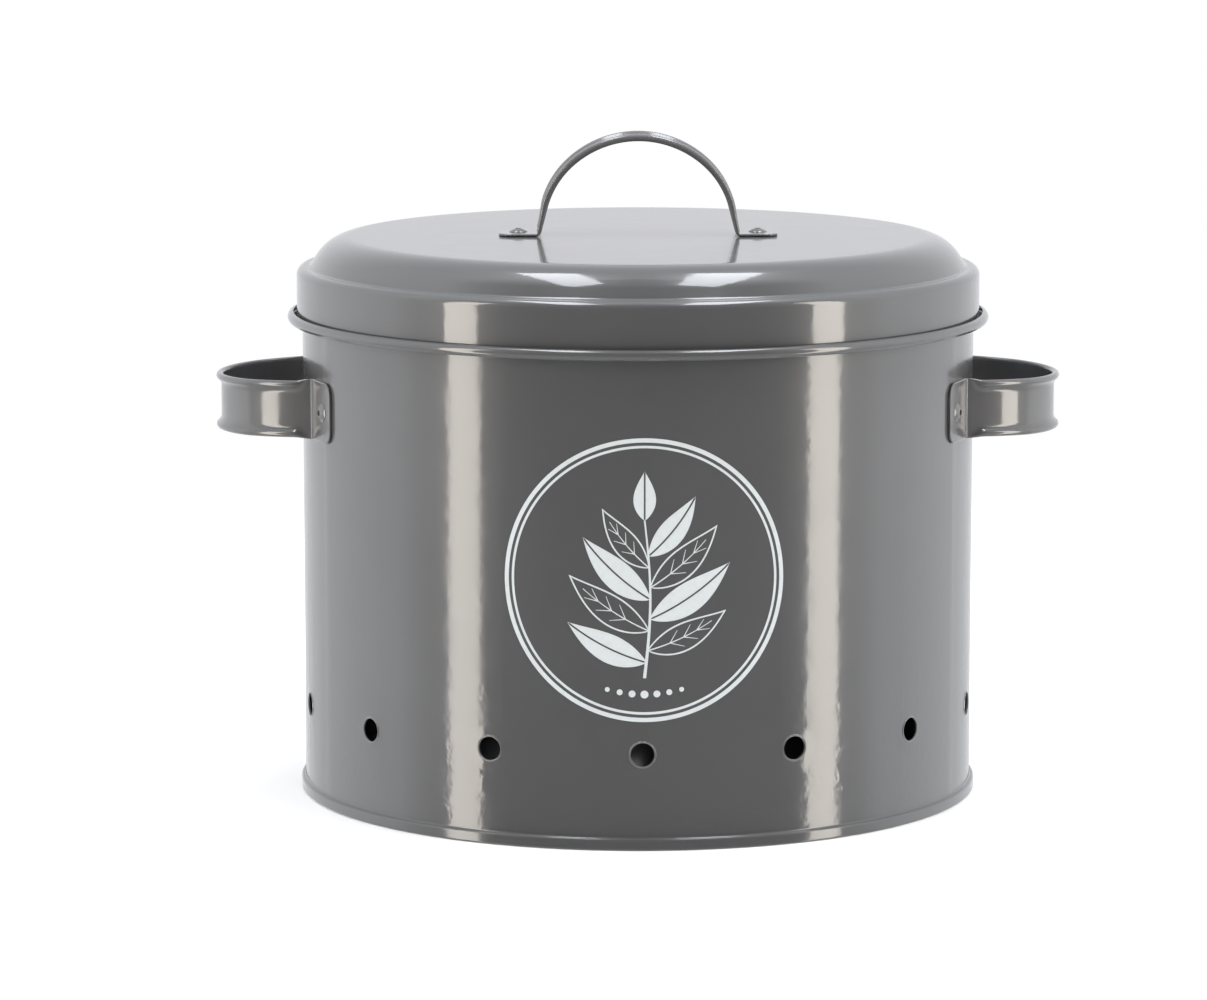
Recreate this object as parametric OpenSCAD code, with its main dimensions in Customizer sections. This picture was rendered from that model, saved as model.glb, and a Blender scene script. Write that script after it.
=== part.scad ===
// Lidded storage bin of lacquered sheet steel.
// A rolled wall with vent holes is seamed to a base. Two strap handles are riveted to its sides.
// The lid lifts off. Its skirt hangs outside the wall and its ledge rests on the rolled rim.
// The origin is the middle of the seam's foot ring on the floor. +Z is up, -Y the front, X the handles.

/* [Body] */
// Outer diameter of the rolled wall
body_d = 222; // [180:1:260]
// Height of the rolled rim above the floor
body_h = 173.5; // [150:0.5:240]
// Thickness of the sheet of the wall, the base and the lid
sheet_t = 0.37; // [0.3:0.01:0.6]
// Outer diameter of the roll at the rim, which turns inwards
rim_roll_d = 2.4; // [1.8:0.1:3]
// Width of the lapped side seam at the back
side_lap_w = 6; // [3:0.5:12]

/* [Base] */
// Height of the double seam that holds the base
seam_h = 3.8; // [3:0.1:6]
// Gap between the folded layers of the seam
seam_gap = 0.1; // [0.05:0.01:0.15]
// Height of the base panel's underside above the floor
base_rise = 3.4; // [2.5:0.1:8]
// Diameter of the raised middle of the base
base_step_d = 170; // [100:5:174]
// Height of the raised middle of the base
base_step_h = 0.8; // [0.4:0.1:2]

/* [Vents] */
// Number of vent holes round the wall
vent_count = 14; // [6:1:20]
// Diameter of a vent hole
vent_d = 7.5; // [4:0.5:12]
// Height of the vent holes' centres
vent_z = 30.7; // [15:0.1:60]
// Width of the raised lip round a vent hole
vent_lip_w = 0.7; // [0.3:0.1:1.5]
// Height of the lip above the wall
vent_lip_h = 0.2; // [0.1:0.05:0.3]

/* [Lid] */
// Clearance between the wall and the inside of the lid's skirt
lid_gap = 1.46; // [0.8:0.02:2.5]
// Clearance between the rim and the ledge that rests on it
lid_seat_gap = 0.2; // [0.1:0.05:0.4]
// Depth of the skirt from the ledge to the bottom of the curl
lid_depth = 18.3; // [12:0.1:28]
// Height of the flat top above the ledge
lid_crown_h = 9.8; // [8:0.1:16]
// Slope of the crown's side
lid_slope_a = 57.5; // [40:0.5:62]
// Radius of the shoulder between the flat top and the slope
lid_shoulder_r = 13.9; // [6:0.1:17]
// Radius of the hollow between the slope and the ledge
lid_fillet_r = 3; // [1:0.1:5]
// Radius of the corner between the ledge and the skirt
lid_corner_r = 2.7; // [1:0.1:3]
// How far the ledge reaches in from the crest of the rim
lid_ledge_in = 0.5; // [0.2:0.1:2]
// Outer diameter of the open curl at the skirt's edge
lid_curl_d = 3.45; // [2.4:0.05:5]
// Turn of the open curl
lid_curl_a = 275; // [200:5:290]

/* [Straps] */
// Thickness of the strap handles
strap_t = 0.8; // [0.6:0.1:1.2]
// Diameter of the rolled edges of a strap
edge_roll_d = 2.4; // [2:0.1:3]
// Radius of the hollow between a strap's face and its rolled edge
edge_fillet_r = 2.7; // [1:0.1:3.4]
// Radius of the corners at a foot's end
foot_corner_r = 4.3; // [1:0.1:6]
// Gap under a foot, filled by the lacquer
foot_gap = 0.15; // [0.05:0.05:0.3]

/* [Side handles] */
// Height of the handles' middle above the floor
handle_z = 130.3; // [60:0.5:134]
// Height of the strap over its rolled edges
handle_w = 18.6; // [14:0.2:26]
// Height of the feet
handle_foot_w = 19.8; // [17:0.2:28]
// Reach of the rolled edges from the wall
handle_reach = 28.8; // [22:0.2:40]
// How far the loop's nose hangs below the feet
handle_droop_h = 0.9; // [0:0.1:2]
// Radius of the nose of the loop over its rolled edges
handle_nose_r = 36.2; // [30:0.2:42]
// Half of the nose's angle
handle_nose_a = 44; // [38:1:50]
// Radius of the loop's shoulders over their rolled edges
handle_shoulder_r = 16.4; // [12:0.2:22]
// Half of the angle of the nose and both shoulders
handle_shoulder_a = 56; // [52:1:60]
// Radius of the loop's sides over their rolled edges
handle_side_r = 57.5; // [50:0.5:80]
// Length over which the rolled edges run out before a foot
handle_roll_out_l = 5.5; // [4:0.5:12]
// Radius of the hollow of the bend at a foot
handle_bend_r = 1.2; // [0.6:0.1:3]
// Length of a foot along the wall
handle_foot_l = 15.9; // [14:0.1:24]

/* [Lid handle] */
// Width of the strap over its rolled edges
grip_w = 16; // [12:0.2:24]
// Width of the feet
grip_foot_w = 16.8; // [12:0.2:26]
// Height of the arch above the lid's flat top
grip_h = 33.8; // [30:0.1:45]
// Radius of the arch's top over its rolled edges
grip_top_r = 34.5; // [30:0.5:45]
// Half of the angle of the arch's top
grip_top_a = 41; // [30:1:52]
// Radius of the arch's sides over their rolled edges
grip_side_r = 30.5; // [20:0.5:34]
// Lean of the legs from upright
grip_lean_a = 14.7; // [5:0.1:20]
// Length over which the rolled edges flatten above a foot
grip_roll_out_l = 10.8; // [8:0.1:16]
// Share of the roll that reaches the bend and ends in it
grip_bend_roll = 0.57; // [0:0.01:0.8]
// Radius of the hollow of the bend at a foot
grip_bend_r = 1.2; // [1:0.1:4]
// Length of a foot from the bend to its end
grip_foot_l = 12.2; // [10:0.1:20]

/* [Rivets] */
// Diameter of a rivet's shank
rivet_d = 3.2; // [2.4:0.1:4]
// Diameter of its low domed head
rivet_head_d = 6.2; // [5:0.1:8]
// Height of its low domed head
rivet_head_h = 1.2; // [0.9:0.1:2]
// Diameter of the hole in the head
rivet_hole_d = 2; // [1.4:0.1:2.6]
// Depth of the hole in the head
rivet_hole_h = 0.7; // [0.4:0.1:1]
// Diameter of the closed end inside
rivet_tail_d = 5; // [4.4:0.1:7]
// Height of the closed end inside
rivet_tail_h = 1; // [0.6:0.1:2]
// Distance from a foot's end to its rivet
rivet_inset = 6.4; // [5:0.1:8]

/* [Hidden] */
$fn = 128;
// Steps of a small and of a large arc in an outline
arc_steps = 8;
roll_steps = 24;
// Steps of a strap's section and of the stretches of its path
hollow_steps = 3;
edge_steps = 7;
nose_steps = 10;
shoulder_steps = 3;
side_steps = 9;
leg_steps = 5;
bend_steps = 6;
foot_steps = 3;
corner_steps = 5;
// Where the divided stretch of a plain section's face starts
face_share = 0.6;
// Overrun of every cut
overrun = 2;
// Play between a rivet and its hole, and under its heads
rivet_play = 0.1;
rivet_seat = 0.05;
// Angle at which the roll of the rim ends
rim_roll_a = 285;
lacquer = [0.42, 0.43, 0.44];
lacquer_light = [0.5, 0.51, 0.52];

// Wall, rim and seam
body_r = body_d / 2;
rim_r = rim_roll_d / 2;
seam_out_r = body_r + 3 * sheet_t + 3 * seam_gap;
chuck_r = body_r - 2 * sheet_t - seam_gap;
hook_r = (3 * sheet_t + 2 * seam_gap) / 2;
wall_hook_x = body_r + seam_gap + sheet_t / 2;
wall_hook_z = sheet_t + seam_gap + hook_r;
seam_corner_r = 2 * sheet_t;
base_corner_r = 2.5 * sheet_t;
base_step_r = base_step_d / 2;

// Lid, from the skirt inwards and upwards
skirt_r = body_r + lid_gap + sheet_t;
ledge_z = body_h + lid_seat_gap + sheet_t;
ledge_r = body_r - rim_r - lid_ledge_in;
top_z = ledge_z + lid_crown_h;
curl_r = lid_curl_d / 2;
curl_x = skirt_r - sheet_t + curl_r;
curl_z = ledge_z - lid_depth + curl_r;
arc_rise = (lid_shoulder_r + lid_fillet_r) * (1 - cos(lid_slope_a));
slope_run = (lid_crown_h - arc_rise) / tan(lid_slope_a);
flat_r = ledge_r - (lid_shoulder_r + lid_fillet_r) * sin(lid_slope_a) - slope_run;

// Side handle's plan: the strap's inner face runs on these circles
foot_in_r = body_r + foot_gap;
nose_r = handle_nose_r - edge_roll_d;
shoulder_r = handle_shoulder_r - edge_roll_d;
side_r = handle_side_r - edge_roll_d;
nose_c = [body_r + handle_reach - handle_nose_r, 0];
shoulder_c = nose_c - (shoulder_r - nose_r) * [cos(handle_nose_a), sin(handle_nose_a)];
side_c = shoulder_c - (side_r - shoulder_r) * [cos(handle_shoulder_a), sin(handle_shoulder_a)];
bend_in_r = handle_bend_r + strap_t;
bend_c = meeting(side_c, side_r + bend_in_r, foot_in_r + bend_in_r);
bend_a = atan2(bend_c[1], bend_c[0]);
side_end_a = atan2(bend_c[1] - side_c[1], bend_c[0] - side_c[0]);
foot_mid_r = foot_in_r + strap_t / 2;
handle_rivet_a = bend_a + (handle_foot_l - rivet_inset) / foot_mid_r * 180 / PI;

// Lid handle's front view: the strap's inner face runs on these circles and lines
foot_z = top_z + foot_gap;
grip_in_r = grip_top_r - edge_roll_d;
grip_side_in_r = grip_side_r - edge_roll_d;
grip_top_c = [0, top_z + grip_h - grip_top_r];
grip_side_c = grip_top_c + (grip_in_r - grip_side_in_r) * [sin(grip_top_a), cos(grip_top_a)];
grip_bend_in_r = grip_bend_r + strap_t;
leg_top = grip_side_c + grip_side_in_r * [cos(grip_lean_a), sin(grip_lean_a)];
grip_bend_z = foot_z + grip_bend_in_r;
grip_bend_x = leg_top[0] + (grip_bend_in_r - (grip_bend_z - leg_top[1]) * sin(grip_lean_a)) / cos(grip_lean_a);
leg_l = (leg_top - [grip_bend_x, grip_bend_z]) * [-sin(grip_lean_a), cos(grip_lean_a)];
grip_rivet_x = grip_bend_x + grip_foot_l - rivet_inset;

// Points on an arc about c
function arc(c, r, from, to, steps) =
    [for (i = [0:steps]) c + r * [cos(from + (to - from) * i / steps), sin(from + (to - from) * i / steps)]];

function reversed(list) = [for (i = [len(list) - 1:-1:0]) list[i]];
function tail(list) = [for (i = [1:len(list) - 1]) list[i]];

// Point on the left of the line from the origin to c, at distance r from c and far from the origin
function meeting(c, r, far) =
    let (
        gap = norm(c),
        along = (far * far - r * r + gap * gap) / (2 * gap),
        up = sqrt(far * far - along * along),
        way = c / gap
    )
    along * way + up * [-way[1], way[0]];

// Wall sheet from its seam hook to the end of its rim roll, at a depth from the outer face
function wall_line(depth) = concat(
    [[wall_hook_x + hook_r - sheet_t + depth, seam_h - hook_r]],
    arc([wall_hook_x, wall_hook_z], hook_r - sheet_t + depth, 360, 180, arc_steps),
    arc([body_r - rim_r, body_h - rim_r], rim_r - depth, 0, rim_roll_a, roll_steps));

// Base sheet from its middle to the end of its seam hook, at a depth from the underside
function base_line(depth) = concat(
    [[0, base_rise + base_step_h + depth], [base_step_r, base_rise + base_step_h + depth],
        [base_step_r + 2 * base_step_h, base_rise + depth]],
    arc([chuck_r - base_corner_r, base_rise - base_corner_r], base_corner_r + depth, 90, 0, arc_steps),
    arc([chuck_r + seam_corner_r, seam_corner_r], seam_corner_r - depth, 180, 270, arc_steps),
    arc([seam_out_r - seam_corner_r, seam_corner_r], seam_corner_r - depth, 270, 360, arc_steps),
    arc([seam_out_r - hook_r, seam_h - hook_r], hook_r - depth, 0, 180, arc_steps),
    [[seam_out_r - 2 * hook_r + depth, wall_hook_z]]);

// Lid sheet from its middle to the end of its curl, at a depth from the outer face
function lid_line(depth) = concat(
    [[0, top_z - depth]],
    arc([flat_r, top_z - lid_shoulder_r], lid_shoulder_r - depth, 90, 90 - lid_slope_a, arc_steps),
    arc([ledge_r, ledge_z + lid_fillet_r], lid_fillet_r + depth, 270 - lid_slope_a, 270, arc_steps),
    arc([skirt_r - lid_corner_r, ledge_z - lid_corner_r], lid_corner_r - depth, 90, 0, arc_steps),
    arc([curl_x, curl_z], curl_r - sheet_t + depth, 180, 180 + lid_curl_a, roll_steps));

// Upper half of a strap's section, [outwards, across], over its rolled edge to its inner face
function rolled_edge(w) =
    let (
        r = edge_roll_d / 2,
        roll_c = [r, w / 2 - r],
        aside = strap_t + edge_fillet_r - r,
        hollow_c = [strap_t + edge_fillet_r,
            roll_c[1] - sqrt((edge_fillet_r + r) * (edge_fillet_r + r) - aside * aside)],
        turn = atan2(roll_c[1] - hollow_c[1], roll_c[0] - hollow_c[0])
    )
    concat(
        arc(hollow_c, edge_fillet_r, 180, turn, hollow_steps),
        arc(roll_c, r, turn - 180 + (360 - turn) / edge_steps, 180, edge_steps - 1));

// The same number of points on a plain edge, which is half round
function plain_edge(w) =
    let (r = strap_t / 2, edge = w / 2 - r)
    concat(
        [for (i = [0:hollow_steps]) [strap_t, edge * (face_share + (1 - face_share) * i / hollow_steps)]],
        arc([r, edge], r, 180 / edge_steps, 180, edge_steps - 1));

// Whole section between the plain edge, at 0, and the rolled edge, at 1
function strap_ring(rolled, w, plain_w) =
    let (
        full = rolled_edge(w),
        plain = plain_edge(plain_w),
        upper = [for (i = [0:len(full) - 1]) rolled * full[i] + (1 - rolled) * plain[i]]
    )
    concat(upper, reversed([for (p = upper) [p[0], -p[1]]]));

// A station of a strap is [place of its inner face, direction outwards, share rolled, plain width]
function station(place, out_a, rolled, plain_w) = [place, out_a, rolled, plain_w];

// Smooth rise from 0 at 0 to 1 at 1
function eased(share) = let (s = min(1, share)) s * s * (3 - 2 * s);

// How far the edges are rolled at a distance from the bend. A run-out is [its length, the share at the bend].
function rolled_at(distance, run_out) = run_out[1] + (1 - run_out[1]) * eased(distance / run_out[0]);

// Stations on an arc about c that ends at a bend, which lies further on by rest
function arc_stations(c, r, from, to, steps, rest, run_out, w) = [
    for (i = [0:steps]) let (a = from + (to - from) * i / steps)
        station(c + r * [cos(a), sin(a)], a, rolled_at(rest + r * abs(to - a) * PI / 180, run_out), w)];

// Stations on the bend between a leg and its foot
function bend_stations(c, r, from, to, run_out, w) = [
    for (i = [1:bend_steps]) let (share = i / bend_steps, a = from + (to - from) * share)
        station(c + r * [cos(a + 180), sin(a + 180)], a, run_out[1] * eased(1 - share), w)];

// Distances along a foot from its bend, and the widths there, round its corners
function foot_runs(l) = concat(
    [for (i = [1:foot_steps]) (l - foot_corner_r) * i / foot_steps],
    [for (i = [1:corner_steps]) l - foot_corner_r * (1 - sin(90 * i / corner_steps))]);
function foot_width(w, left) = left >= foot_corner_r ? w :
    w - 2 * (foot_corner_r - sqrt(foot_corner_r * foot_corner_r - pow(foot_corner_r - left, 2)));

// Half a strap's stations and their mirror image. The flip mirrors a place and its direction.
function both_halves(half, across) = concat(
    reversed([for (i = [1:len(half) - 1]) let (s = half[i])
        across ? station([s[0][0], -s[0][1]], -s[1], s[2], s[3])
            : station([-s[0][0], s[0][1]], 180 - s[1], s[2], s[3])]),
    half);

// Solid through the sections at a row of stations. Past sag_x they sink by sag for each unit along X.
module strap(stations, w, sag = 0, sag_x = 0) {
    rings = [for (s = stations) let (sunk = sag * max(0, s[0][0] - sag_x)) [for (p = strap_ring(s[2], w, s[3]))
        [s[0][0] + p[0] * cos(s[1]), s[0][1] + p[0] * sin(s[1]), p[1] - sunk]]];
    n = len(rings[0]);
    last = len(rings) - 1;
    // The end faces fan out from this point, which has no other in line with it on the straight side
    tip = n / 2 - 1;
    polyhedron(
        points = [for (ring = rings) each ring],
        faces = concat(
            [for (i = [0:last - 1]) for (j = [0:n - 1]) let (a = i * n + j, b = i * n + (j + 1) % n)
                each [[a, b, b + n], [a, b + n, a + n]]],
            [for (j = [1:n - 2]) [tip, (tip + j + 1) % n, (tip + j) % n]],
            [for (j = [1:n - 2]) last * n * [1, 1, 1] + [tip, (tip + j) % n, (tip + j + 1) % n]]));
}

// Rivet along Z with its head's seat at 0, the hole of its pulled pin in the head and its closed end below
module rivet(grip) {
    head_r = rivet_head_d / 2;
    hole_r = rivet_hole_d / 2;
    tail_r = rivet_tail_d / 2;
    dome_r = (head_r * head_r + rivet_head_h * rivet_head_h) / (2 * rivet_head_h);
    dome_a = asin(head_r / dome_r);
    hole_a = asin(hole_r / dome_r);
    round_r = rivet_tail_h / 2;
    color(lacquer_light) rotate_extrude() polygon(concat(
        [[0, rivet_head_h - rivet_hole_h], [hole_r, rivet_head_h - rivet_hole_h]],
        arc([0, rivet_head_h - dome_r], dome_r, 90 - hole_a, 90 - dome_a, arc_steps),
        [[rivet_d / 2, 0], [rivet_d / 2, -grip], [tail_r, -grip]],
        arc([tail_r - round_r, round_r - grip - rivet_tail_h], round_r, 0, -90, arc_steps),
        [[0, -grip - rivet_tail_h]]));
}

// Rivet of a side handle on the right, at the back for side 1 and in front for side -1
module handle_rivet(side) {
    rotate([0, 0, side * handle_rivet_a]) translate([foot_in_r + strap_t + rivet_seat, 0, handle_z])
        rotate([0, 90, 0]) rivet(strap_t + foot_gap + sheet_t + 2 * rivet_seat);
}

// Holes for the rivets of both side handles, cut across the wall and the feet
module handle_rivet_holes() {
    for (turn = [0, 180]) for (side = [-1, 1])
        rotate([0, 0, turn + side * handle_rivet_a])
            translate([body_r - sheet_t - overrun, 0, handle_z]) rotate([0, 90, 0])
            cylinder(d = rivet_d + 2 * rivet_play, h = sheet_t + foot_gap + strap_t + 2 * overrun);
}

module body_wall() {
    color(lacquer) difference() {
        union() {
            rotate_extrude() polygon(concat(wall_line(0), reversed(wall_line(sheet_t))));
            side_lap();
            each_vent() cylinder(h = sheet_t / 2 + vent_lip_h, r1 = vent_d / 2 + vent_lip_w,
                r2 = vent_d / 2 + vent_lip_w / 2);
        }
        each_vent() translate([0, 0, -overrun]) cylinder(h = sheet_t + vent_lip_h + 2 * overrun, d = vent_d);
        handle_rivet_holes();
    }
}

// Second layer of sheet where the wall's ends lap at the back
module side_lap() {
    lap_a = side_lap_w / body_r * 180 / PI;
    low = seam_h + seam_gap;
    rotate([0, 0, 90 - lap_a / 2]) rotate_extrude(angle = lap_a)
        translate([body_r - sheet_t / 2, low]) square([1.5 * sheet_t, body_h - rim_roll_d - low]);
}

// Places its children at each vent, in the middle of the sheet, with Z pointing outwards
module each_vent() {
    for (i = [0:vent_count - 1]) rotate([0, 0, 360 * i / vent_count - 90])
        translate([body_r - sheet_t / 2, 0, vent_z]) rotate([0, 90, 0]) children();
}

module base_plate() {
    color(lacquer) rotate_extrude() polygon(concat(base_line(0), reversed(base_line(sheet_t))));
}

// Right-hand handle. The left one is its mirror image.
module side_handle() {
    run_out = [handle_roll_out_l, 0];
    side_l = side_r * (side_end_a - handle_shoulder_a) * PI / 180;
    shoulder_l = shoulder_r * (handle_shoulder_a - handle_nose_a) * PI / 180;
    half = concat(
        arc_stations(nose_c, nose_r, 0, handle_nose_a, nose_steps, shoulder_l + side_l, run_out, handle_foot_w),
        tail(arc_stations(shoulder_c, shoulder_r, handle_nose_a, handle_shoulder_a, shoulder_steps, side_l,
            run_out, handle_foot_w)),
        tail(arc_stations(side_c, side_r, handle_shoulder_a, side_end_a, side_steps, 0, run_out,
            handle_foot_w)),
        bend_stations(bend_c, bend_in_r, side_end_a, bend_a, run_out, handle_foot_w),
        [for (run = foot_runs(handle_foot_l)) let (a = bend_a + run / foot_mid_r * 180 / PI)
            station(foot_in_r * [cos(a), sin(a)], a, 0, foot_width(handle_foot_w, handle_foot_l - run))]);
    sag = handle_droop_h / (body_r + handle_reach - bend_c[0]);
    color(lacquer) difference() {
        translate([0, 0, handle_z]) strap(both_halves(half, true), handle_w, sag, bend_c[0]);
        handle_rivet_holes();
    }
}

module left_handle() {
    mirror([1, 0, 0]) side_handle();
}

module right_handle() {
    side_handle();
}

module left_handle_front_rivet() {
    mirror([1, 0, 0]) handle_rivet(-1);
}

module left_handle_back_rivet() {
    mirror([1, 0, 0]) handle_rivet(1);
}

module right_handle_front_rivet() {
    handle_rivet(-1);
}

module right_handle_back_rivet() {
    handle_rivet(1);
}

module lid_shell() {
    color(lacquer) difference() {
        rotate_extrude() polygon(concat(lid_line(0), reversed(lid_line(sheet_t))));
        grip_rivet_holes();
    }
}

// Holes for the rivets of the lid handle, cut across the lid and the feet
module grip_rivet_holes() {
    for (side = [-1, 1]) translate([side * grip_rivet_x, 0, top_z - sheet_t - overrun])
        cylinder(d = rivet_d + 2 * rivet_play, h = sheet_t + foot_gap + strap_t + 2 * overrun);
}

// The arch is swept lying in the XY plane and is then stood up
module lid_handle() {
    side_a = 90 - grip_top_a;
    arc_l = grip_side_in_r * (side_a - grip_lean_a) * PI / 180;
    leg_dir = [sin(grip_lean_a), -cos(grip_lean_a)];
    run_out = [grip_roll_out_l, grip_bend_roll];
    half = concat(
        arc_stations(grip_top_c, grip_in_r, 90, side_a, nose_steps, arc_l + leg_l, run_out, grip_foot_w),
        tail(arc_stations(grip_side_c, grip_side_in_r, side_a, grip_lean_a, leg_steps, leg_l, run_out,
            grip_foot_w)),
        [for (i = [1:leg_steps]) let (run = leg_l * i / leg_steps)
            station(leg_top + run * leg_dir, grip_lean_a, rolled_at(leg_l - run, run_out), grip_foot_w)],
        bend_stations([grip_bend_x, grip_bend_z], grip_bend_in_r, grip_lean_a, 90, run_out, grip_foot_w),
        [for (run = foot_runs(grip_foot_l))
            station([grip_bend_x + run, foot_z], 90, 0, foot_width(grip_foot_w, grip_foot_l - run))]);
    color(lacquer) difference() {
        rotate([90, 0, 0]) strap(both_halves(half, false), grip_w);
        grip_rivet_holes();
    }
}

// Rivet of the lid handle, on the right for side 1
module grip_rivet(side) {
    translate([side * grip_rivet_x, 0, foot_z + strap_t + rivet_seat])
        rivet(strap_t + foot_gap + sheet_t + 2 * rivet_seat);
}

module lid_handle_left_rivet() {
    grip_rivet(-1);
}

module lid_handle_right_rivet() {
    grip_rivet(1);
}

body_wall();
base_plate();
left_handle();
right_handle();
left_handle_front_rivet();
left_handle_back_rivet();
right_handle_front_rivet();
right_handle_back_rivet();
lid_shell();
lid_handle();
lid_handle_left_rivet();
lid_handle_right_rivet();
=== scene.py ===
import math

import bmesh
import bpy
import numpy as np
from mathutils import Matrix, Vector


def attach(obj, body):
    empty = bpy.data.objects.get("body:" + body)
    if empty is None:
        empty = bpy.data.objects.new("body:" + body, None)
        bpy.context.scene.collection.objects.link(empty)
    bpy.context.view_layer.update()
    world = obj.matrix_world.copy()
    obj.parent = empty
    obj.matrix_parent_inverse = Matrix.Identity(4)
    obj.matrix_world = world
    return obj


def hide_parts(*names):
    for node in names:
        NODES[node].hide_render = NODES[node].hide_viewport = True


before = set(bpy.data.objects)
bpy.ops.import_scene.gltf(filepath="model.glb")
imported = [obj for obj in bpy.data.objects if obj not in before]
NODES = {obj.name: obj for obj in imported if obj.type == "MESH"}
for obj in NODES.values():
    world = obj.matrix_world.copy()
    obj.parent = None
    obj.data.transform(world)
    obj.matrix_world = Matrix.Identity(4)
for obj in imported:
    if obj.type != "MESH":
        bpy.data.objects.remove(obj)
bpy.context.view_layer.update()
MM = 0.001


def add_object(name, data):
    """Makes an object of some data and links it to the scene."""
    item = bpy.data.objects.new(name, data)
    bpy.context.scene.collection.objects.link(item)
    return item


# Camera, a long lens that looks slightly down
camera_data = bpy.data.cameras.new("camera")
camera_data.sensor_width = 36
camera_data.lens = 159.2
camera_data.clip_start = 0.05
camera_data.clip_end = 40
camera = add_object("camera", camera_data)
bpy.context.scene.camera = camera
yaw, pitch = 0.0079, 0.1493
forward = Vector((math.sin(yaw) * math.cos(pitch), math.cos(yaw) * math.cos(pitch), -math.sin(pitch)))
camera.location = Vector((-25.3, -1758.6, 359.6)) * MM
camera.rotation_mode = "QUATERNION"
camera.rotation_quaternion = forward.to_track_quat("-Z", "Y")
bpy.context.scene.view_settings.view_transform = "Standard"
bpy.context.scene.view_settings.look = "None"

# Sizes of the CAD part, in mm
SHEET = 0.37
BODY_R = 111.0
RIM_Z = 173.5
RIM_ROLL_R = 1.2
SEAM_H = 3.8
VENTS = 14
VENT_R = 3.75
VENT_Z = 30.7
LID_GAP = 1.46
LID_SEAT_GAP = 0.2
LID_CROWN_H = 9.8
LEDGE_Z = RIM_Z + LID_SEAT_GAP + SHEET
TOP_Z = LEDGE_Z + LID_CROWN_H
SKIRT_R = BODY_R + LID_GAP + SHEET
# Steps of a whole turn of the round pieces
TURN_STEPS = 384


# Shapes
def polar(a):
    """Direction at an angle in degrees."""
    return np.array((math.cos(math.radians(a)), math.sin(math.radians(a))))


def arc(c, r, a0, a1, steps):
    """Points on an arc about c, from a0 to a1 degrees."""
    turns = np.radians(np.linspace(a0, a1, steps + 1))
    return [(c[0] + r * math.cos(t), c[1] + r * math.sin(t)) for t in turns]


def on_wall(turn, across, z, r):
    """Point at a turn from the front and a length across to the right, at a radius from the bin's axis."""
    a = turn + across / BODY_R
    return (r * math.sin(a), -r * math.cos(a), z)


def skin(rings, closed=False):
    """Faces between closed rings of equal numbers of points, and from the last to the first if closed."""
    n = len(rings[0])
    faces = []
    for i in range(len(rings) if closed else len(rings) - 1):
        a, b = i * n, (i + 1) % len(rings) * n
        for j in range(n):
            k = (j + 1) % n
            faces.append((a + j, a + k, b + k, b + j))
    return faces


def new_object(name, verts, faces, body, material, smooth_angle=35):
    """Makes a smooth piece in metres from points in mm, riding on a body."""
    mesh = bpy.data.meshes.new(name)
    mesh.from_pydata([Vector(v) * MM for v in verts], [], faces)
    mesh.update()
    piece = add_object(name, mesh)
    bm = bmesh.new()
    bm.from_mesh(mesh)
    bmesh.ops.recalc_face_normals(bm, faces=bm.faces)
    for face in bm.faces:
        face.smooth = True
    for edge in bm.edges:
        if len(edge.link_faces) == 2 and edge.calc_face_angle(0) > math.radians(smooth_angle):
            edge.smooth = False
    bm.to_mesh(mesh)
    bm.free()
    mesh.materials.append(material)
    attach(piece, body)
    return piece


def lathe(name, outline, body, material):
    """Turns a closed outline of (radius, height) about Z. A point at radius 0 stays one vertex."""
    verts = []
    rows = []
    for r, z in outline:
        if r < 1e-6:
            rows.append([len(verts)] * TURN_STEPS)
            verts.append((0, 0, z))
            continue
        rows.append(list(range(len(verts), len(verts) + TURN_STEPS)))
        for i in range(TURN_STEPS):
            t = 2 * math.pi * i / TURN_STEPS
            verts.append((r * math.cos(t), r * math.sin(t), z))
    faces = []
    for j in range(len(rows)):
        a, b = rows[j], rows[(j + 1) % len(rows)]
        for i in range(TURN_STEPS):
            k = (i + 1) % TURN_STEPS
            face = list(dict.fromkeys([a[i], a[k], b[k], b[i]]))
            if len(face) > 2:
                faces.append(face)
    return new_object(name, verts, faces, body, material)


# Shader nodes. Most of these functions add a node to a tree and give its output.
def feed(tree, socket, value):
    """Links a socket to another node's output, or sets it to a plain value."""
    if isinstance(value, bpy.types.NodeSocket):
        tree.links.new(value, socket)
    else:
        socket.default_value = value


def object_place(tree):
    return tree.nodes.new("ShaderNodeTexCoord").outputs["Object"]


def split(tree, vector):
    """The three outputs of a vector's X, Y and Z."""
    node = tree.nodes.new("ShaderNodeSeparateXYZ")
    feed(tree, node.inputs["Vector"], vector)
    return [node.outputs[axis] for axis in "XYZ"]


def maths(tree, operation, first, second=None):
    node = tree.nodes.new("ShaderNodeMath")
    node.operation = operation
    feed(tree, node.inputs[0], first)
    if second is not None:
        feed(tree, node.inputs[1], second)
    return node.outputs["Value"]


def noise(tree, place, scale, detail):
    node = tree.nodes.new("ShaderNodeTexNoise")
    node.inputs["Scale"].default_value = scale
    node.inputs["Detail"].default_value = detail
    feed(tree, node.inputs["Vector"], place)
    return node.outputs["Fac"]


def map_range(tree, value, low, high, to_low=0, to_high=1, smooth=False):
    """Maps a value between low and high to one between to_low and to_high."""
    node = tree.nodes.new("ShaderNodeMapRange")
    node.interpolation_type = "SMOOTHSTEP" if smooth else "LINEAR"
    for name, number in (("From Min", low), ("From Max", high), ("To Min", to_low), ("To Max", to_high)):
        node.inputs[name].default_value = number
    feed(tree, node.inputs["Value"], value)
    return node.outputs["Result"]


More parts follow.
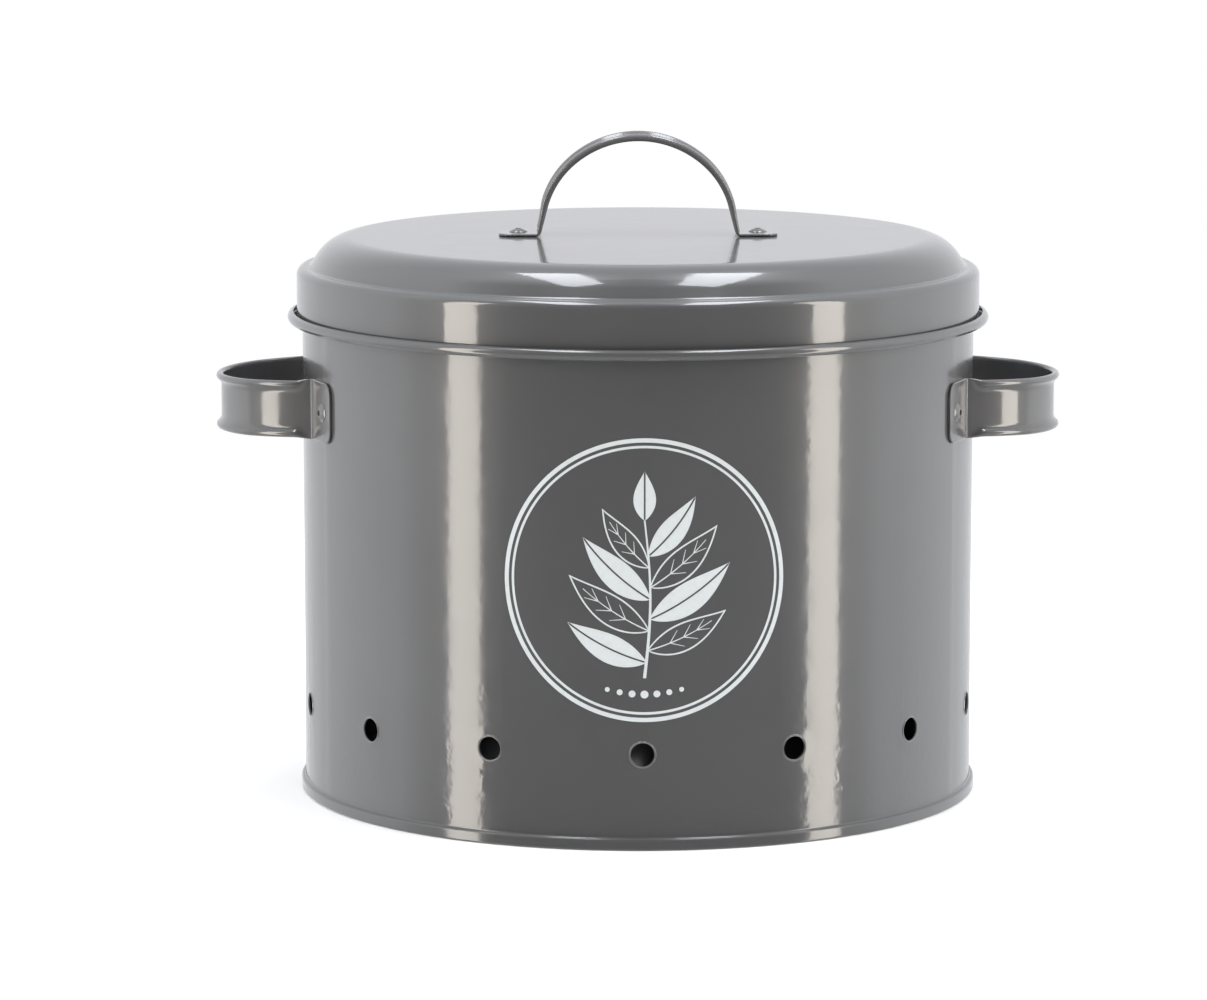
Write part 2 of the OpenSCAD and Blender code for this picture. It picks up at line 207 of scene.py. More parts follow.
def ramp(tree, value, stops):
    """Colour at a value, between stops of a place and a colour each."""
    node = tree.nodes.new("ShaderNodeValToRGB")
    elements = node.color_ramp.elements
    for element, (place, colour) in zip(elements, (stops[0], stops[-1])):
        element.position = place
        element.color = colour
    for place, colour in stops[1:-1]:
        elements.new(place).color = colour
    feed(tree, node.inputs["Fac"], value)
    return node.outputs["Color"]


def mix(tree, share, colour, other):
    """A colour with a share of another one."""
    node = tree.nodes.new("ShaderNodeMix")
    node.data_type = "RGBA"
    feed(tree, node.inputs["Factor"], share)
    feed(tree, node.inputs["A"], colour)
    feed(tree, node.inputs["B"], other)
    return node.outputs["Result"]


def bump(tree, height, strength, distance, under=None):
    """Normal of a surface raised by a height, whose distance is in mm, over another bump."""
    node = tree.nodes.new("ShaderNodeBump")
    node.inputs["Distance"].default_value = distance * MM
    feed(tree, node.inputs["Strength"], strength)
    feed(tree, node.inputs["Height"], height)
    if under is not None:
        feed(tree, node.inputs["Normal"], under)
    return node.outputs["Normal"]


def new_material(name):
    """Makes a material and gives it with its node tree."""
    material = bpy.data.materials.new(name)
    material.use_nodes = True
    return material, material.node_tree


# Lacquer
GREY = (0.0708, 0.0718, 0.0745)
WORN = (0.16, 0.16, 0.16, 1)
# How far the colour varies to both sides
MOTTLE = 0.035
# Pointiness that no edge reaches
NEVER = 2


def raised_at_vents(tree, x, y, z):
    """Normal of the slight rise of the sheet round each vent."""
    rise_h, rise_out, rise_in = 0.09, 4.5, 1.5
    front = maths(tree, "MULTIPLY", y, -1)
    turns = maths(tree, "MULTIPLY", maths(tree, "ARCTAN2", x, front), VENTS / (2 * math.pi))
    aside = maths(tree, "SUBTRACT", turns, maths(tree, "ROUND", turns))
    across = maths(tree, "MULTIPLY", aside, 2 * math.pi * BODY_R * MM / VENTS)
    up = maths(tree, "SUBTRACT", z, VENT_Z * MM)
    squares = maths(tree, "ADD", maths(tree, "POWER", across, 2), maths(tree, "POWER", up, 2))
    distance = maths(tree, "POWER", squares, 0.5)
    rise = map_range(tree, distance, (VENT_R + rise_out) * MM, (VENT_R - rise_in) * MM, smooth=True)
    return bump(tree, rise, strength=1, distance=rise_h)


def lacquer(name, base=GREY, ripple_h=0.05, worn_from=0.53, gloss_from=0.075, wall=False):
    """Glossy lacquer on sheet steel: a soft base with a clear, slightly rippled gloss.

    Edges are worn from a pointiness of worn_from. gloss_from is the least roughness of the gloss.
    On the wall the ripple is coarser towards the foot, and the sheet rises round the vents.
    """
    material, tree = new_material(name)
    bsdf = tree.nodes["Principled BSDF"]
    place = object_place(tree)
    # Slow mottle of the colour
    cloud = noise(tree, place, scale=26, detail=4)
    dark, light = ([c * shade for c in base] + [1] for shade in (1 - MOTTLE, 1 + MOTTLE))
    tint = ramp(tree, cloud, [(0.3, dark), (0.7, light)])
    # Worn, lighter edges
    pointiness = tree.nodes.new("ShaderNodeNewGeometry").outputs["Pointiness"]
    edges = map_range(tree, pointiness, worn_from, worn_from + 0.09, to_high=0.35)
    feed(tree, bsdf.inputs["Base Color"], mix(tree, edges, tint, WORN))
    # Gloss that varies a little, as if wiped
    wipe = noise(tree, place, scale=90, detail=1)
    gloss = map_range(tree, wipe, 0.3, 0.7, gloss_from, gloss_from + 0.05)
    feed(tree, bsdf.inputs["Coat Roughness"], gloss)
    # Fine ripple of the lacquer over slow waves of the sheet
    ripple = noise(tree, place, scale=260, detail=2)
    strength, under = 0.35, None
    if wall:
        x, y, z = split(tree, place)
        strength = map_range(tree, z, 60 * MM, 30 * MM, 0.35, 0.75)
        under = raised_at_vents(tree, x, y, z)
    fine = bump(tree, ripple, strength, ripple_h, under)
    waves = noise(tree, place, scale=38, detail=2)
    slow = bump(tree, waves, strength=0.5, distance=0.05, under=fine)
    feed(tree, bsdf.inputs["Normal"], slow)
    feed(tree, bsdf.inputs["Coat Normal"], slow)
    bsdf.inputs["Coat Weight"].default_value = 1
    bsdf.inputs["Coat IOR"].default_value = 1.42
    bsdf.inputs["Roughness"].default_value = 0.33
    bsdf.inputs["Specular IOR Level"].default_value = 0.22
    return material


body_paint = lacquer("lacquer_body", ripple_h=0.09, wall=True)
lid_paint = lacquer("lacquer_lid", gloss_from=0.05)
base_paint = lacquer("lacquer_base")
strap_paint = lacquer("lacquer_strap", (0.08, 0.08, 0.082), ripple_h=0, worn_from=NEVER)
# The lid's handle is the same lacquered strap as the side handles. Its lighter base colour is a painted
# sheen that stands for the brighter reflections on its top
grip_paint_with_painted_sheen = lacquer("lacquer_grip_painted_sheen", (0.11, 0.11, 0.115), ripple_h=0, worn_from=NEVER, gloss_from=0.1)
rivet_paint = lacquer("lacquer_rivet", (0.1, 0.1, 0.101))


# Lid, one spun sheet with its curl
def lid_line(depth):
    """Half the lid's section at a depth in the sheet, from the middle of its top to the curl's end.

    It follows the CAD's, apart from the hollow above the ledge, fillet_r, which is tighter.
    """
    slope, shoulder_r, fillet_r, corner_r = 57.5, 13.9, 1.6, 2.7
    ledge_in, skirt_h, curl_r, curl_a = 0.5, 18.3, 3.45 / 2, 275
    ledge_r = BODY_R - RIM_ROLL_R - ledge_in
    rise = (shoulder_r + fillet_r) * (1 - math.cos(math.radians(slope)))
    run = (TOP_Z - LEDGE_Z - rise) / math.tan(math.radians(slope))
    flat_r = ledge_r - (shoulder_r + fillet_r) * math.sin(math.radians(slope)) - run
    curl_c = (SKIRT_R - SHEET + curl_r, LEDGE_Z - skirt_h + curl_r)
    line = [(r, TOP_Z - depth) for r in np.linspace(0, flat_r, 24)[:-1]]
    line += arc((flat_r, TOP_Z - shoulder_r), shoulder_r - depth, 90, 90 - slope, 24)
    line += arc((ledge_r, LEDGE_Z + fillet_r), fillet_r + depth, 270 - slope, 270, 12)
    line += arc((SKIRT_R - corner_r, LEDGE_Z - corner_r), corner_r - depth, 90, 0, 12)
    skirt = np.linspace(LEDGE_Z - corner_r, curl_c[1], 10)
    line += [(SKIRT_R - depth, z) for z in skirt[1:-1]]
    line += arc(curl_c, curl_r - SHEET + depth, 180, 180 + curl_a, 40)
    return line


lid = lathe("lid_spun_sheet", lid_line(0) + lid_line(SHEET)[::-1], "lid", lid_paint)
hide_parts("lid_shell")

# Strap handles, swept through sections like the CAD's but finer
STRAP_T = 0.8
ROLL_R = 1.2
HOLLOW_R = 2.7
BEND_HOLLOW_R = 1.2
BEND_R = BEND_HOLLOW_R + STRAP_T
FOOT_GAP = 0.15
FOOT_CORNER_R = 4.3
# Where the divided stretch of a plain section's face starts
FACE_SHARE = 0.6
# Steps of a section and of the stretches of a path
FACE_STEPS = 4
HOLLOW_STEPS = 8
ROLL_STEPS = 22
NOSE_STEPS = 40
SHOULDER_STEPS = 12
SIDE_STEPS = 30
GRIP_TOP_STEPS = 30
GRIP_SIDE_STEPS = 20
LEG_STEPS = 12
BEND_STEPS = 14
FOOT_STEPS = 8
CORNER_STEPS = 14


def rolled_edge(w):
    """Upper half of a strap's section, [outwards, across], over its rolled edge to its inner face."""
    roll_c = (ROLL_R, w / 2 - ROLL_R)
    aside = STRAP_T + HOLLOW_R - ROLL_R
    hollow_c = (STRAP_T + HOLLOW_R, roll_c[1] - math.sqrt((HOLLOW_R + ROLL_R) ** 2 - aside ** 2))
    turn = math.degrees(math.atan2(roll_c[1] - hollow_c[1], roll_c[0] - hollow_c[0]))
    face = [(STRAP_T, hollow_c[1] * k / FACE_STEPS) for k in range(1, FACE_STEPS)]
    hollow = arc(hollow_c, HOLLOW_R, 180, turn, HOLLOW_STEPS)
    return face + hollow + arc(roll_c, ROLL_R, turn - 180, 180, ROLL_STEPS)[1:]


def plain_edge(w):
    """The same number of points on a plain edge, which is half round."""
    r = STRAP_T / 2
    edge = w / 2 - r
    face = [(STRAP_T, edge * FACE_SHARE * k / FACE_STEPS) for k in range(1, FACE_STEPS)]
    shares = [FACE_SHARE + (1 - FACE_SHARE) * k / HOLLOW_STEPS for k in range(HOLLOW_STEPS + 1)]
    flat = [(STRAP_T, edge * share) for share in shares]
    return face + flat + arc((r, edge), r, 0, 180, ROLL_STEPS)[1:]


def section(rolled, w, plain_w):
    """A strap's whole section, a blend of the rolled one and the plain one by the share rolled."""
    upper = rolled * np.array(rolled_edge(w)) + (1 - rolled) * np.array(plain_edge(plain_w))
    inner = [(0, upper[-1][1] * k / FACE_STEPS) for k in range(FACE_STEPS - 1, 0, -1)]
    upper = np.vstack([[(STRAP_T, 0)], upper, inner, [(0, 0)]])
    return np.vstack([upper, (upper * (1, -1))[-2:0:-1]])


def eased(share):
    """A share that starts and ends smoothly and stays 1 beyond 1."""
    share = min(1, share)
    return share * share * (3 - 2 * share)


def rolled_at(distance, run_out):
    """Share of the roll at a distance from the bend. A run-out is its length and its share at the bend."""
    length, at_bend = run_out
    return at_bend + (1 - at_bend) * eased(distance / length)


# A strap's path lies in a plane. Its stations are a place, the angle of the outer face, the share of the
# edges that is rolled and the width where they are plain. They are made for half a path, from its middle.
def arc_stations(c, r, a0, a1, steps, rest, run_out, foot_w):
    """Stations on an arc that ends before the bend, which lies further on by rest."""
    stations = []
    for a in np.linspace(a0, a1, steps + 1):
        distance = rest + r * math.radians(abs(a1 - a))
        stations.append((np.array(c) + r * polar(a), a, rolled_at(distance, run_out), foot_w))
    return stations


def bend_stations(c, a0, a1, run_out, foot_w):
    """Stations on the bend between a leg and its foot."""
    stations = []
    for k in range(1, BEND_STEPS + 1):
        a = a0 + (a1 - a0) * k / BEND_STEPS
        rolled = run_out[1] * eased(1 - k / BEND_STEPS)
        stations.append((np.array(c) + BEND_R * polar(a + 180), a, rolled, foot_w))
    return stations


def foot_runs(length):
    """Distances of a foot's stations from the bend, to the end of its round corners."""
    straight = [(length - FOOT_CORNER_R) * k / FOOT_STEPS for k in range(1, FOOT_STEPS + 1)]
    turns = [math.radians(90 * k / CORNER_STEPS) for k in range(1, CORNER_STEPS + 1)]
    return straight + [length - FOOT_CORNER_R * (1 - math.sin(t)) for t in turns]


def foot_width(w, left):
    """Width of a foot where a distance is left to its end."""
    if left >= FOOT_CORNER_R:
        return w
    return w - 2 * (FOOT_CORNER_R - math.sqrt(FOOT_CORNER_R ** 2 - (FOOT_CORNER_R - left) ** 2))


def whole(half, middle):
    """All stations of a path whose middle is at 0 degrees, on the first axis, or at 90, on the second."""
    flip = (-1, 1) if middle else (1, -1)
    mirrored = [(p * flip, 2 * middle - a, rolled, foot_w) for p, a, rolled, foot_w in half[1:]]
    return mirrored[::-1] + half


def strap(name, stations, w, place, body, paint):
    """Sweeps a strap through its stations.

    place takes a point of the path's plane, a distance across the strap and the first coordinate of the
    station, and gives the point on the bin.
    """
    rings = []
    for p, a, rolled, foot_w in stations:
        outline = section(rolled, w, foot_w)
        rings.append([place(*(p + out * polar(a)), side, p[0]) for out, side in outline])
    n = len(rings[0])
    faces = skin(rings)
    faces.append(tuple(range(n))[::-1])
    faces.append(tuple((len(rings) - 1) * n + j for j in range(n)))
    return new_object(name, [v for ring in rings for v in ring], faces, body, paint, 50)


def circles_meeting(c, r, far):
    """Point at a distance far from the origin and r from c, to the left of the way to c."""
    gap = math.hypot(*c)
    along = (far ** 2 - r ** 2 + gap ** 2) / (2 * gap)
    up = math.sqrt(far ** 2 - along ** 2)
    way = np.array(c) / gap
    return along * way + up * np.array((-way[1], way[0]))


# Side handles, drawn in plan
HANDLE_Z = 130.3
HANDLE_W = 18.6
HANDLE_REACH = 28.8
DROOP = 0.9


def side_strap():
    """Half the stations of a side handle, and the place of its bend."""
    foot_w, foot_l, run_out = 19.8, 15.9, (5.5, 0)
    foot_in = BODY_R + FOOT_GAP
    # Radii over the rolled edges, which stand out from the strap
    outer_nose_r, outer_shoulder_r, outer_side_r = 36.2, 16.4, 57.5
    nose_a, shoulder_a = 44, 56
    nose_r, shoulder_r, side_r = (r - 2 * ROLL_R for r in (outer_nose_r, outer_shoulder_r, outer_side_r))
    nose_c = np.array((BODY_R + HANDLE_REACH - outer_nose_r, 0))
    shoulder_c = nose_c - (shoulder_r - nose_r) * polar(nose_a)
    side_c = shoulder_c - (side_r - shoulder_r) * polar(shoulder_a)
    bend_c = circles_meeting(side_c, side_r + BEND_R, foot_in + BEND_R)
    bend_a = math.degrees(math.atan2(bend_c[1], bend_c[0]))
    end_a = math.degrees(math.atan2(bend_c[1] - side_c[1], bend_c[0] - side_c[0]))
    side_l = side_r * math.radians(end_a - shoulder_a)
    shoulder_l = shoulder_r * math.radians(shoulder_a - nose_a)
    rest = shoulder_l + side_l
    half = arc_stations(nose_c, nose_r, 0, nose_a, NOSE_STEPS, rest, run_out, foot_w)
    half += arc_stations(
        shoulder_c, shoulder_r, nose_a, shoulder_a, SHOULDER_STEPS, side_l, run_out, foot_w)[1:]
    half += arc_stations(side_c, side_r, shoulder_a, end_a, SIDE_STEPS, 0, run_out, foot_w)[1:]
    half += bend_stations(bend_c, end_a, bend_a, run_out, foot_w)
    for run in foot_runs(foot_l):
        a = bend_a + math.degrees(run / (foot_in + STRAP_T / 2))
        half.append((foot_in * polar(a), a, 0, foot_width(foot_w, foot_l - run)))
    return half, bend_c[0]


# Handle of the lid, drawn as seen from the front
GRIP_W = 16.0
GRIP_H = 33.8


def lid_strap():
    """Half the stations of the lid's handle."""
    foot_w, foot_l, run_out = 16.8, 12.2, (10.8, 0.57)
    foot_z = TOP_Z + FOOT_GAP
    # Radii over the rolled edges, which stand out from the strap
    outer_top_r, outer_side_r = 34.5, 30.5
    side_a, lean = 49, 14.7
    top_r, side_r = outer_top_r - 2 * ROLL_R, outer_side_r - 2 * ROLL_R
    top_c = np.array((0, TOP_Z + GRIP_H - outer_top_r))
    side_c = top_c + (top_r - side_r) * polar(side_a)
    leg_top = side_c + side_r * polar(lean)
    sin, cos = math.sin(math.radians(lean)), math.cos(math.radians(lean))
    bend_z = foot_z + BEND_R
    bend_x = leg_top[0] + (BEND_R - (bend_z - leg_top[1]) * sin) / cos
    leg_l = float(np.dot(leg_top - (bend_x, bend_z), (-sin, cos)))
    side_l = side_r * math.radians(side_a - lean)
    half = arc_stations(top_c, top_r, 90, side_a, GRIP_TOP_STEPS, side_l + leg_l, run_out, foot_w)
    half += arc_stations(side_c, side_r, side_a, lean, GRIP_SIDE_STEPS, leg_l, run_out, foot_w)[1:]
    for k in range(1, LEG_STEPS + 1):
        place = leg_top + leg_l * k / LEG_STEPS * np.array((sin, -cos))
        half.append((place, lean, rolled_at(leg_l * (1 - k / LEG_STEPS), run_out), foot_w))
    half += bend_stations((bend_x, bend_z), lean, 90, run_out, foot_w)
    for run in foot_runs(foot_l):
        half.append((np.array((bend_x + run, foot_z)), 90, 0, foot_width(foot_w, foot_l - run)))
    return half


side_half, loop_x = side_strap()
side_stations = whole(side_half, 0)
sag = DROOP / (BODY_R + HANDLE_REACH - loop_x)


def at_side(direction):
    """Place on a side handle, on the right with direction 1 or the left with -1. Its loop hangs a little."""
    return lambda x, y, side, reach: (direction * x, y, HANDLE_Z + side - sag * max(0, reach - loop_x))


def on_lid(x, z, side, reach):
    """Place on the lid's handle."""
    return (x, side, z)


right = strap("strap_right", side_stations, HANDLE_W, at_side(1), "bin", strap_paint)
left = strap("strap_left", side_stations, HANDLE_W, at_side(-1), "bin", strap_paint)
top = strap("strap_lid", whole(lid_strap(), 90), GRIP_W, on_lid, "lid", grip_paint_with_painted_sheen)
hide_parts("right_handle")
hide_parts("left_handle")
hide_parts("lid_handle")

# Rolled lips of the vents, following the wall. Their lacquer is lighter than the wall's: partly thinner
# paint on the rounded edge, partly a painted highlight of the studio on the lips' round
LIP_STEPS = 64


def lip_line():
    """Section of a lip, outwards from the vent's edge and up from the wall, round the sheet's edge."""
    lip_w, lip_h, slope_w, inwards, sunk = 0.66, 0.24, 0.36, 0.03, 0.12
    corner_w, corner_h, inner_w, steps = 0.06, 0.1, 0.3, 8
    inner_face = -SHEET - 0.02
    rises = [0.5 - 0.5 * math.cos(math.pi * k / steps) for k in range(1, steps + 1)]
    line = [(lip_w, -sunk), (lip_w, 0)]
    line += [(lip_w - slope_w * (k + 1) / steps, lip_h * rise) for k, rise in enumerate(rises)]
    line += arc((lip_h - inwards, 0), lip_h, 90, 180, steps)[1:]
    line += [(-inwards, -SHEET + corner_h), (corner_w, inner_face), (inner_w, inner_face)]
    return line + [(inner_w + corner_h, -sunk)]


# Lighter base colour of the lips: a painted highlight, with some real thin paint at the edges
lip_paint_and_highlight = lacquer("lacquer_lip_and_painted_highlight", (0.11, 0.11, 0.11), ripple_h=0.004, worn_from=NEVER)
lip = [(VENT_R + out, BODY_R + up) for out, up in lip_line()]
for i in range(VENTS):
    middle = 2 * math.pi * i / VENTS
    rings = []
    for k in range(LIP_STEPS):
        t = 2 * math.pi * k / LIP_STEPS
        rings.append([on_wall(middle, d * math.cos(t), VENT_Z + d * math.sin(t), r) for d, r in lip])
    verts = [v for ring in rings for v in ring]
    new_object(f"vent_lip_{i + 1}", verts, skin(rings, True), "bin", lip_paint_and_highlight)

# Lacquer that fills the crevice above the bottom seam, with a hollow face
hollow_r = 0.75
hollow_c = (BODY_R + hollow_r, SEAM_H + 0.62)
in_wall_r = BODY_R - 0.05
filling = [(in_wall_r, SEAM_H + 0.56)]
filling += arc(hollow_c, hollow_r, 184, 262, 10)
filling += [(BODY_R + 0.55, SEAM_H - 0.2), (in_wall_r, SEAM_H - 0.3)]
lathe("seam_lacquer", filling, "bin", base_paint)

# Print on the front of the wall: a double ring round a leafy sprig, in thin raised ink
PRINT_Z = 86.2
PRINT_TURN = 0.3
INK_IN = BODY_R - 0.05
INK_OUT = BODY_R + 0.04
# Inner and outer radius of the two rings
RINGS = ((43.65, 45), (41.85, 42.65))
STEM_W = 1.0
STEM_L = 50
STEM_FOOT = -31
STEM_BOW = 1.8
STEM_STEPS = 40
# Step of the stem, lean, length and width of each pair of leaves. The right one is some steps higher.
LEAF_PAIRS = ((4, 74, 28, 9), (12, 66, 31, 9.6), (20, 58, 29, 9.2), (28, 49, 24, 8))
STAGGER = 3
# Lean, length and width of the leaf at the top
TOP_LEAF = (0, 15.5, 7)
LEAF_CURL = 22
LEAF_STEPS = 30
# Half the width of a leaf at its ends, and the power that moves its widest place towards the base
LEAF_END = 0.04
LEAF_SHIFT = 0.8
# Width of a leaf's outline, midrib and veins
LINE = 0.5
MIDRIB = 0.42
VEIN = 0.3
# Share of a stroke's width that is left at its end
TAPER = 0.5
# Half the width of the bare midrib of a filled leaf
BARE = 0.28
# Where the veins of an outlined leaf start, how far on they end, and how near to its edge
VEINS = (8, 13, 18)
VEIN_ON = 4
VEIN_OUT = 0.62
# A row of dots that curves up and shrinks to both sides, each with a pinhole as it is a ring of ink
DOTS_Z = -36.2
DOT_R = 1.25
DOT_HOLE_R = 0.02
DOT_STEP = 3.9
DOT_RISE = 0.17
DOT_SHRINK = 0.16


class Ink:
    """Collects closed bands of ink, from places to the right of the print's middle and up from it."""

    def __init__(self):
        self.verts = []
        self.faces = []

    def band(self, low, high, across=1, closed=False):
        """Band between two rows of points of equal number, divided across."""
        rows = len(low)
        count = across + 1
        starts = []
        for r in (INK_OUT, INK_IN):
            starts.append(len(self.verts))
            for p, q in zip(low, high):
                for k in range(count):
                    u, v = (p[i] + (q[i] - p[i]) * (k / across) for i in (0, 1))
                    self.verts.append(on_wall(math.radians(PRINT_TURN), u, PRINT_Z + v, r))
        top, under = starts
        for i in range(rows if closed else rows - 1):
            j = (i + 1) % rows
            for k in range(across):
                a, b = i * count + k, j * count + k
                self.faces.append((top + a, top + b, top + b + 1, top + a + 1))
                self.faces.append((under + a, under + a + 1, under + b + 1, under + b))
            for k in (0, across):
                a, b = i * count + k, j * count + k
                self.faces.append((top + a, under + a, under + b, top + b))
        if not closed:
            for i in (0, rows - 1):
                for k in range(across):
                    a = i * count + k
                    self.faces.append((top + a, top + a + 1, under + a + 1, under + a))

    def ring(self, r_in, r_out, c=(0, 0), steps=240):
        turns = [2 * math.pi * i / steps for i in range(steps)]
        low = [(c[0] + r_in * math.cos(t), c[1] + r_in * math.sin(t)) for t in turns]
        high = [(c[0] + r_out * math.cos(t), c[1] + r_out * math.sin(t)) for t in turns]
        self.band(low, high, 2, True)

    def stroke(self, path, width):
        """Line along a path, which tapers towards its end."""
        low, high = [], []
        for i, p in enumerate(path):
            a, b = path[max(i - 1, 0)], path[min(i + 1, len(path) - 1)]
            along = np.array((b[0] - a[0], b[1] - a[1]))
            out = np.array((-along[1], along[0])) / np.linalg.norm(along)
            half = width / 2 * (1 + (TAPER - 1) * i / (len(path) - 1))
            low.append(np.array(p) - half * out)
            high.append(np.array(p) + half * out)
        self.band(low, high)

    def leaf(self, base, lean, length, width, curl, filled):
        """Leaf from a base, leaning by an angle from upright and curling towards upright."""
        mid, outs = [], []
        p = np.array(base, float)
        for i in range(LEAF_STEPS + 1):
            a = math.radians(lean - curl * i / LEAF_STEPS)
            mid.append(p.copy())
            outs.append(np.array((math.cos(a), -math.sin(a))))
            p += length / LEAF_STEPS * np.array((math.sin(a), math.cos(a)))
        shares = [i / LEAF_STEPS for i in range(LEAF_STEPS + 1)]
        half = [width / 2 * math.sin(math.pi * share ** LEAF_SHIFT) + LEAF_END for share in shares]
        for side in (-1, 1):
            high = [m + side * h * o for m, h, o in zip(mid, half, outs)]
            if filled:
                low = [m + side * min(BARE, h - 0.03) * o for m, h, o in zip(mid, half, outs)]
                self.band(low, high, 5)
            else:
                low = [m + side * max(h - LINE, 0.01) * o for m, h, o in zip(mid, half, outs)]
                self.band(low, high)
                for k in VEINS:
                    end = k + VEIN_ON
                    far = mid[end] + side * VEIN_OUT * half[end] * outs[end]
                    self.stroke([mid[k] + (far - mid[k]) * t / 4 for t in range(5)], VEIN)
        if not filled:
            self.stroke(mid[:-6], MIDRIB)


def sprig():
    """Ink of the whole print."""
    ink = Ink()
    for r_in, r_out in RINGS:
        ink.ring(r_in, r_out)
    shares = [k / STEM_STEPS for k in range(STEM_STEPS + 1)]
    stem = [(STEM_BOW * math.sin(math.pi * share), STEM_FOOT + STEM_L * share) for share in shares]
    ink.stroke(stem, STEM_W)
    for pair, (k, lean, length, width) in enumerate(LEAF_PAIRS):
        for side in (-1, 1):
            base = stem[k if side < 0 else k + STAGGER]
            filled = (pair % 2 == 0) == (side < 0)
            ink.leaf(base, side * lean, length, width, side * LEAF_CURL, filled)
    ink.leaf(stem[-1], *TOP_LEAF, 0, True)
    for k in range(-3, 4):
        place = (DOT_STEP * k, DOTS_Z + DOT_RISE * k * k)
        ink.ring(DOT_HOLE_R, DOT_R - DOT_SHRINK * abs(k), place, 24)
    return ink


def raised_ink(name):
    """White ink that is slightly uneven."""
    material, tree = new_material(name)
    bsdf = tree.nodes["Principled BSDF"]
    cloud = noise(tree, object_place(tree), scale=700, detail=3)
    tint = ramp(tree, cloud, [(0.25, (0.53, 0.565, 0.58, 1)), (0.6, (0.56, 0.6, 0.615, 1))])
    feed(tree, bsdf.inputs["Base Color"], tint)
    feed(tree, bsdf.inputs["Normal"], bump(tree, cloud, strength=0.1, distance=0.01))
    bsdf.inputs["Roughness"].default_value = 0.3
    return material


ink = sprig()
new_object("print_sprig", ink.verts, ink.faces, "bin", raised_ink("ink_white"))


# Lacquer of the CAD's nodes
def paint_of(node):
    if "rivet" in node:
        return rivet_paint
    if "handle" in node:
        return strap_paint
    return {"body_wall": body_paint, "base_plate": base_paint, "lid_shell": lid_paint}[node]


for node, solid in NODES.items():
    if not solid.data.materials:
        solid.data.materials.append(paint_of(node))
    for material_slot in solid.material_slots:
        material_slot.material = paint_of(node)


# Floor, in metres as all of the studio
def flat_object(name, corners, z, material):
    """Makes one flat face at a height from its corners."""
    mesh = bpy.data.meshes.new(name)
    mesh.from_pydata([(x, y, z) for x, y in corners], [], [tuple(range(len(corners)))])
    mesh.materials.append(material)
    return add_object(name, mesh)


def pale_floor(name):
    """Matt and white, and fading out well away from the bin."""
    material, tree = new_material(name)
    bsdf = tree.nodes["Principled BSDF"]
    bsdf.inputs["Base Color"].default_value = (0.9, 0.9, 0.9, 1)
    bsdf.inputs["Roughness"].default_value = 0.8
    bsdf.inputs["Specular IOR Level"].default_value = 0.1
    faded_from, faded_to = 0.35, 0.9
    away = tree.nodes.new("ShaderNodeVectorMath")
    away.operation = "LENGTH"
    feed(tree, away.inputs[0], object_place(tree))
    fade = map_range(tree, away.outputs["Value"], faded_from, faded_to, 1, 0, smooth=True)
    feed(tree, bsdf.inputs["Alpha"], fade)
    return material


floor = flat_object("floor", [(-1, -1), (1, -1), (1, 1), (-1, 1)], 0, pale_floor("floor"))
# The bin's gloss shows the studio's walls down to its foot, as on a small table
floor.visible_glossy = False


# Tall strips of light left and right in front
STRIP_AWAY = 1.4
STRIP_Z = 0.1
STRIP_H = 2.2
STRIP_POWER = 24.2
STRIP_COLOUR = (1, 0.935, 0.85)


def strip(name, low, high):
    """Area light between two azimuths from the front, in degrees to the right, that faces the bin."""
    data = bpy.data.lights.new(name, "AREA")
    data.shape = "RECTANGLE"
    data.size = 2 * STRIP_AWAY * math.tan(math.radians((high - low) / 2))
    data.size_y = STRIP_H
    data.energy = STRIP_POWER
    data.color = STRIP_COLOUR
    light = add_object(name, data)
    middle = math.radians((low + high) / 2)
    light.location = (STRIP_AWAY * math.sin(middle), -STRIP_AWAY * math.cos(middle), STRIP_Z)
    light.rotation_mode = "QUATERNION"
    light.rotation_quaternion = (Vector((0, 0, STRIP_Z)) - light.location).to_track_quat("-Z", "Y")


strip("strip_left", -65.4, -53.5)
strip("strip_right", 56.8, 68.5)

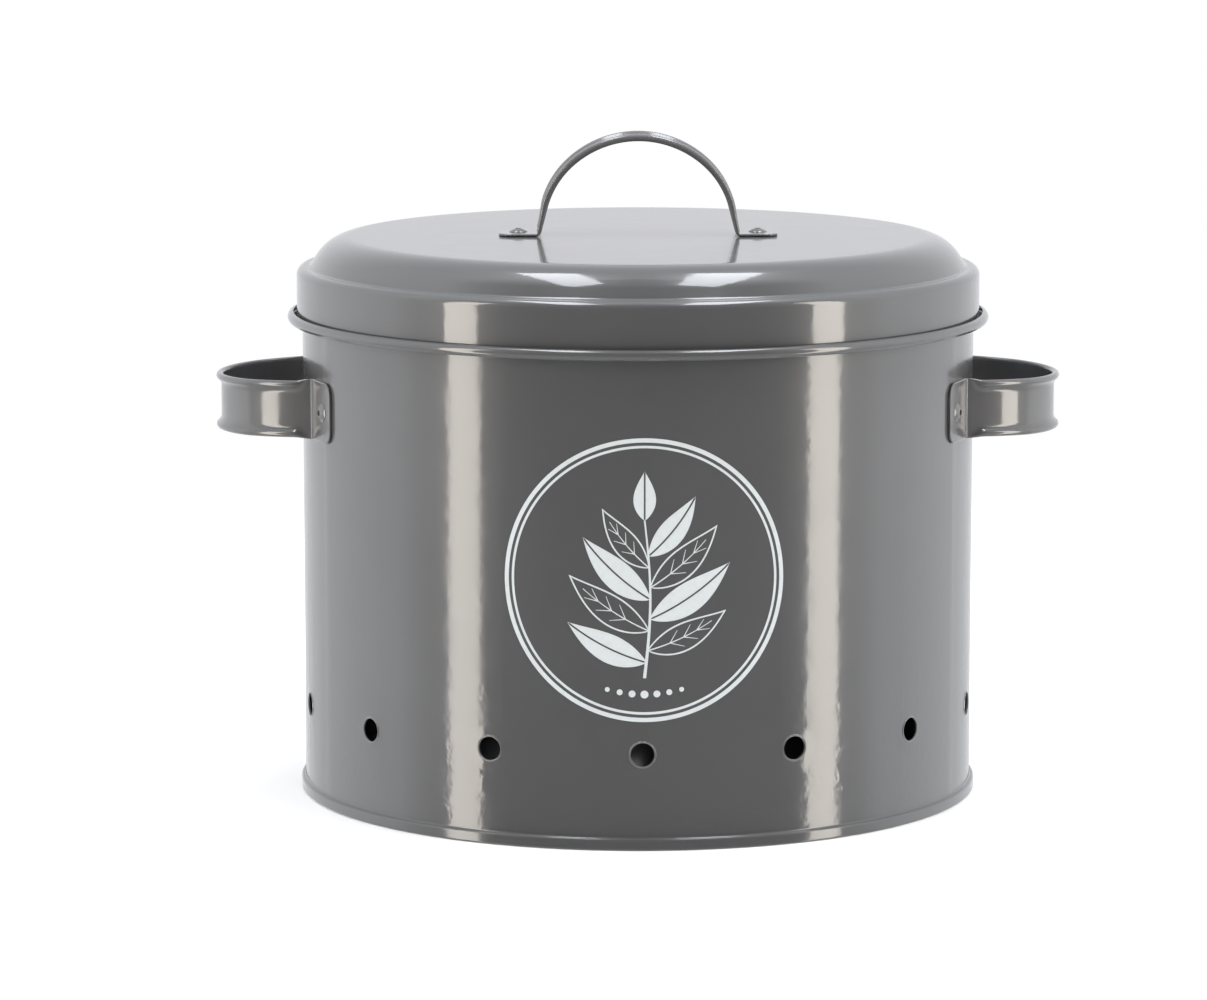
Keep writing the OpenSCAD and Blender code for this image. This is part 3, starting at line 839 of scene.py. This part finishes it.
# Two soft panels under the ceiling, whose front edges run at a slant
PANEL_Z = 1.28
PANEL_LEFT = ((-0.178, 0.285), (-0.175, -0.408), (-0.37, -0.61), (-0.43, -0.54), (-0.395, 0.29))
PANEL_RIGHT = ((0.165, 0.31), (0.41, 0.32), (0.474, -0.232), (0.455, -0.615), (0.196, -0.5))
panel_glow, glow_tree = new_material("panel_glow")
glow_tree.nodes.clear()
glow = glow_tree.nodes.new("ShaderNodeEmission")
glow.inputs["Color"].default_value = (0.955, 0.985, 1.04, 1)
glow.inputs["Strength"].default_value = 14
glow_out = glow_tree.nodes.new("ShaderNodeOutputMaterial")
feed(glow_tree, glow_out.inputs["Surface"], glow.outputs["Emission"])
for name, corners in (("panel_left", PANEL_LEFT), ("panel_right", PANEL_RIGHT)):
    panel = flat_object(name, corners, PANEL_Z, panel_glow)
    panel.visible_camera = False

# World: dark in front where the camera stands, brightest at the sides and about half as bright behind
FRONT = (0.02, 0.02, 0.021, 1)
BEHIND = (0.42, 0.42, 0.436, 1)
# Share of the way from front to back, and the brightness there, which is tinted slightly blue
LEVELS = ((0.30, 0.05), (0.42, 0.5), (0.5, 0.95), (0.58, 0.83), (0.65, 0.7), (0.74, 0.52), (0.82, 0.47))
# Downwards it fades to an even grey, as of a pale table, between these two Z of a direction
BELOW = (0.5, 0.5, 0.5, 1)
STEEP_FROM = -0.21
STEEP_TO = -0.34
world = bpy.data.worlds.new("studio")
bpy.context.scene.world = world
world.use_nodes = True
tree = world.node_tree
x, y, z = split(tree, tree.nodes.new("ShaderNodeTexCoord").outputs["Generated"])
turn = maths(tree, "ARCTAN2", maths(tree, "ABSOLUTE", x), maths(tree, "MULTIPLY", y, -1))
stops = [(place, (0.98 * level, level, 1.03 * level, 1)) for place, level in LEVELS]
walls = ramp(tree, maths(tree, "DIVIDE", turn, math.pi), [(0, FRONT)] + stops + [(1, BEHIND)])
steep = map_range(tree, z, STEEP_FROM, STEEP_TO, smooth=True)
background = tree.nodes["Background"]
feed(tree, background.inputs["Color"], mix(tree, steep, walls, BELOW))
background.inputs["Strength"].default_value = 2.0
# Seen directly, the background is plain white
plain = tree.nodes.new("ShaderNodeBackground")
plain.inputs["Color"].default_value = (1, 1, 1, 1)
seen = tree.nodes.new("ShaderNodeLightPath")
choose = tree.nodes.new("ShaderNodeMixShader")
feed(tree, choose.inputs["Fac"], seen.outputs["Is Camera Ray"])
feed(tree, choose.inputs[1], background.outputs["Background"])
feed(tree, choose.inputs[2], plain.outputs["Background"])
feed(tree, tree.nodes["World Output"].inputs["Surface"], choose.outputs["Shader"])
